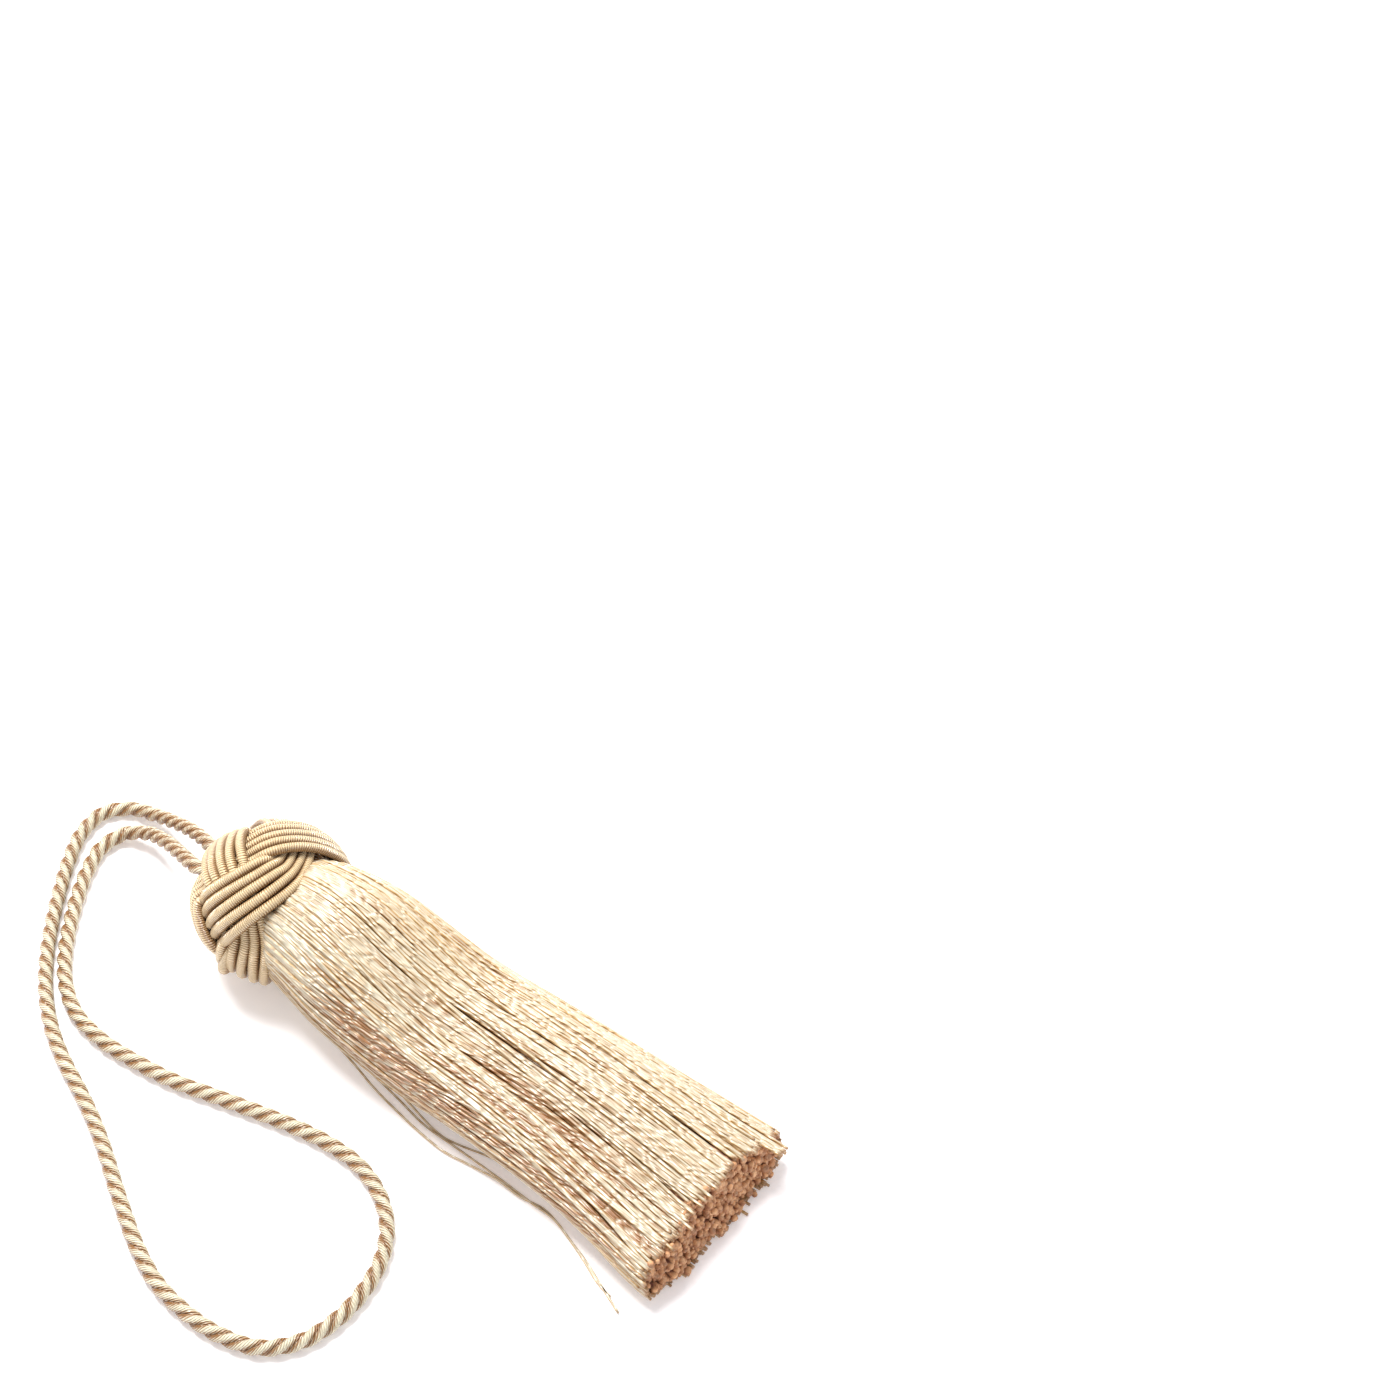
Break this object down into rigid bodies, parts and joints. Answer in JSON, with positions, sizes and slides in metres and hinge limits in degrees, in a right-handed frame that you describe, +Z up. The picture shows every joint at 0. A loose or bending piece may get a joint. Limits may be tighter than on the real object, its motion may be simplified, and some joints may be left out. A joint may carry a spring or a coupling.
{
  "type": "silk tassel",
  "caption": "Furnishing tassel lying on its side: a plaited knot of gimp cord as the head, a full skirt of soft twisted threads, and a hanging loop of laid cord.",
  "frame": {"origin": "middle of the box round head and skirt, on the surface the tassel lies on", "axes": "+X along the tassel from the head to the cut end of the skirt, +Z up from the surface, +Y to the left seen from the head"},
  "size_m": [0.1661, 0.0944, 0.0314],
  "materials": {
    "gimp_cord": "silky, wound gimp",
    "skirt_thread": "lustrous twisted thread",
    "laid_cord": "silky, three-ply laid"
  },
  "bodies": {
    "root": {"head_knot": "gimp_cord", "skirt": "skirt_thread", "hanging_cord": "laid_cord"}
  },
  "joints": []
}
